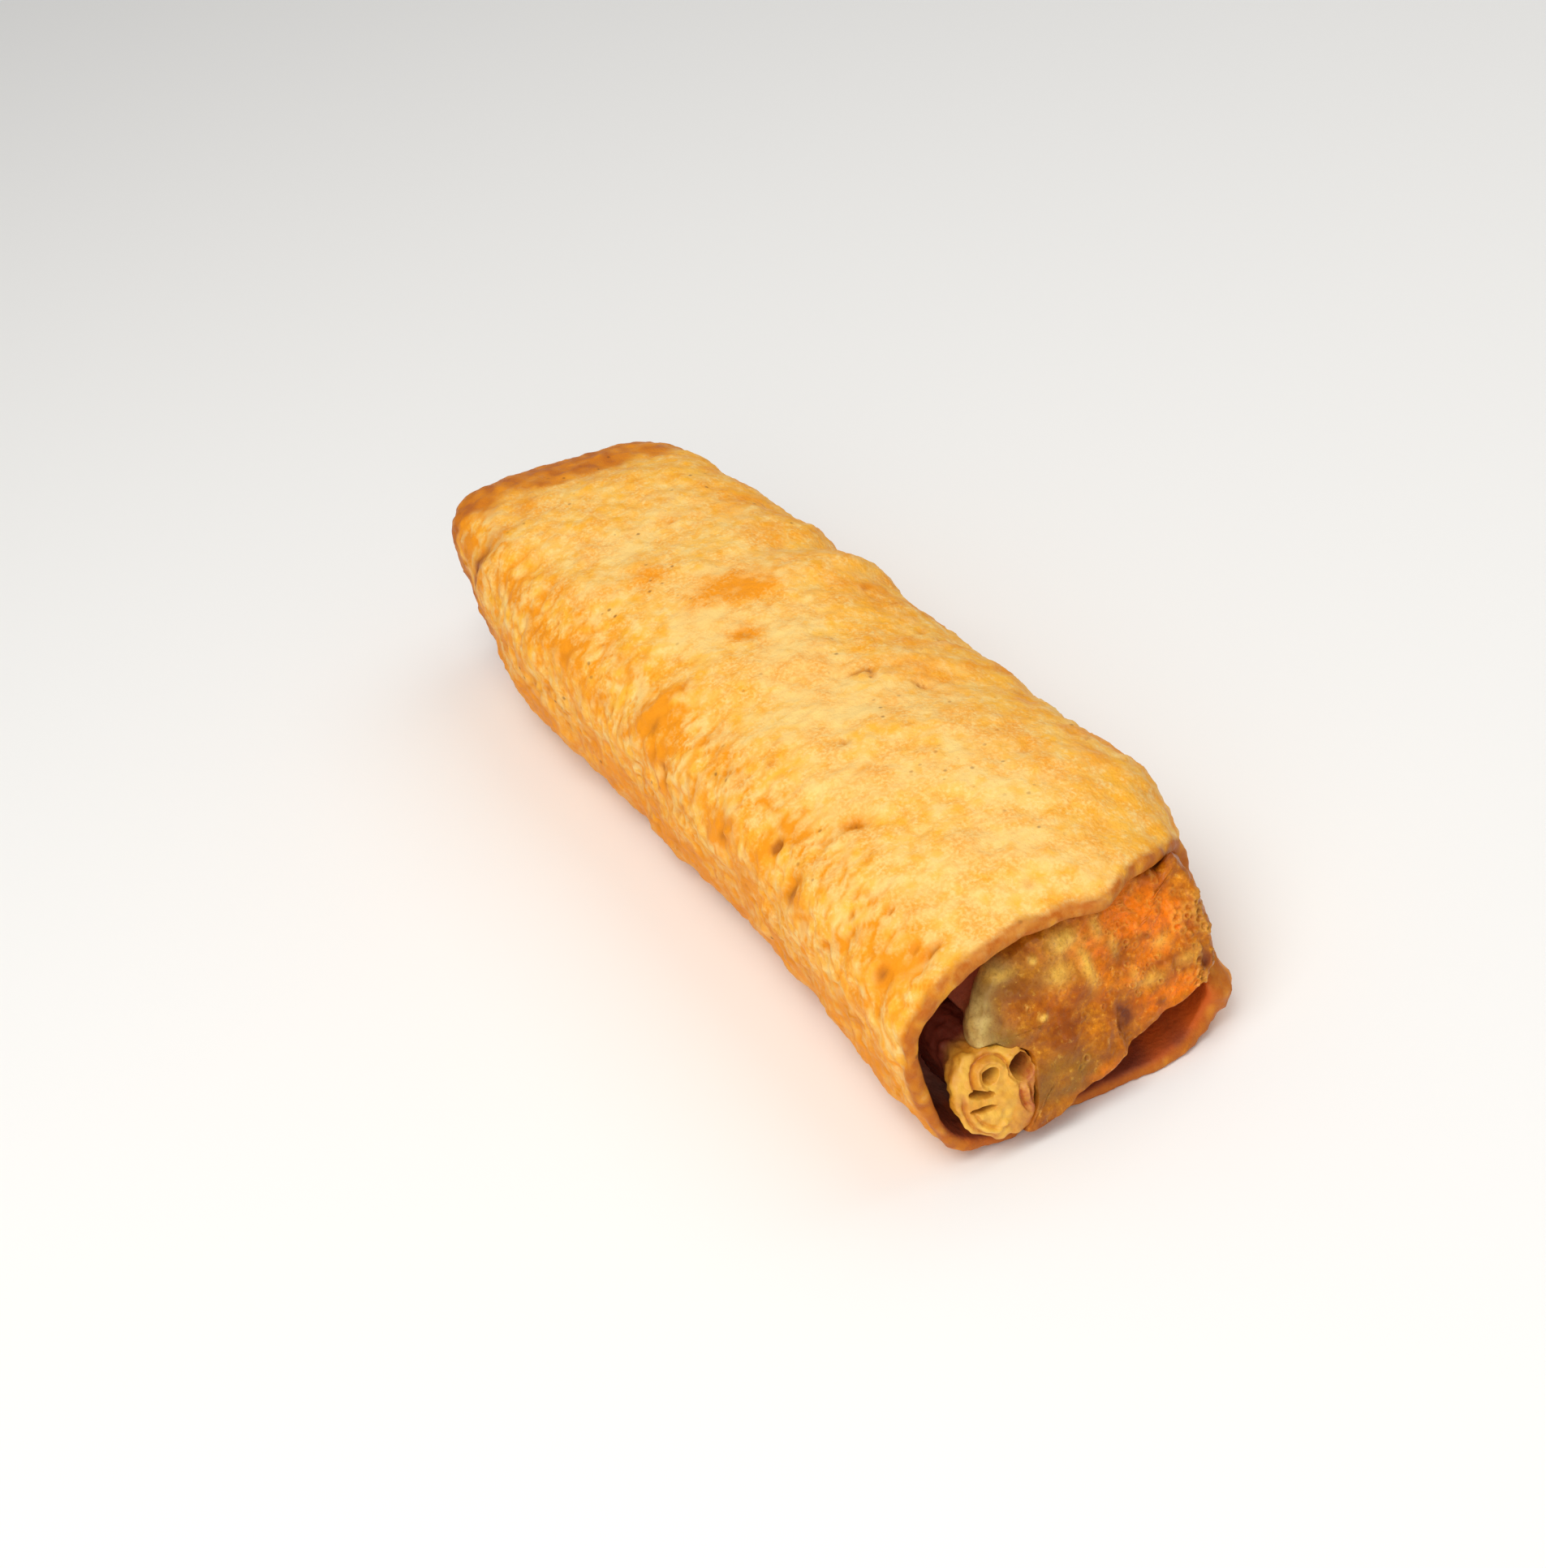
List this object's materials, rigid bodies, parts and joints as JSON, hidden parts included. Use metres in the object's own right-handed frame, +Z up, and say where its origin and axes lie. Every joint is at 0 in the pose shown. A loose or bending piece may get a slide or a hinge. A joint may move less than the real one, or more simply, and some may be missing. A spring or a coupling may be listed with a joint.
{
  "type": "egg roll",
  "caption": "Fried egg roll lying on its side: a blistered golden pastry tube with a wavy open mouth, a folded inner flap and a curled pastry edge showing inside.",
  "frame": {"origin": "middle of the roll's footprint, on the surface that it lies on", "axes": "+X along the roll towards the open mouth, +Y across it, +Z up"},
  "size_m": [0.14, 0.0488, 0.0294],
  "materials": {
    "golden_crust": "satin",
    "oiled_flap": "gloss",
    "pale_curl": "satin"
  },
  "bodies": {
    "root": {"outer_wrap": "golden_crust", "inner_roll": "oiled_flap", "curled_edge": "pale_curl"}
  },
  "joints": []
}
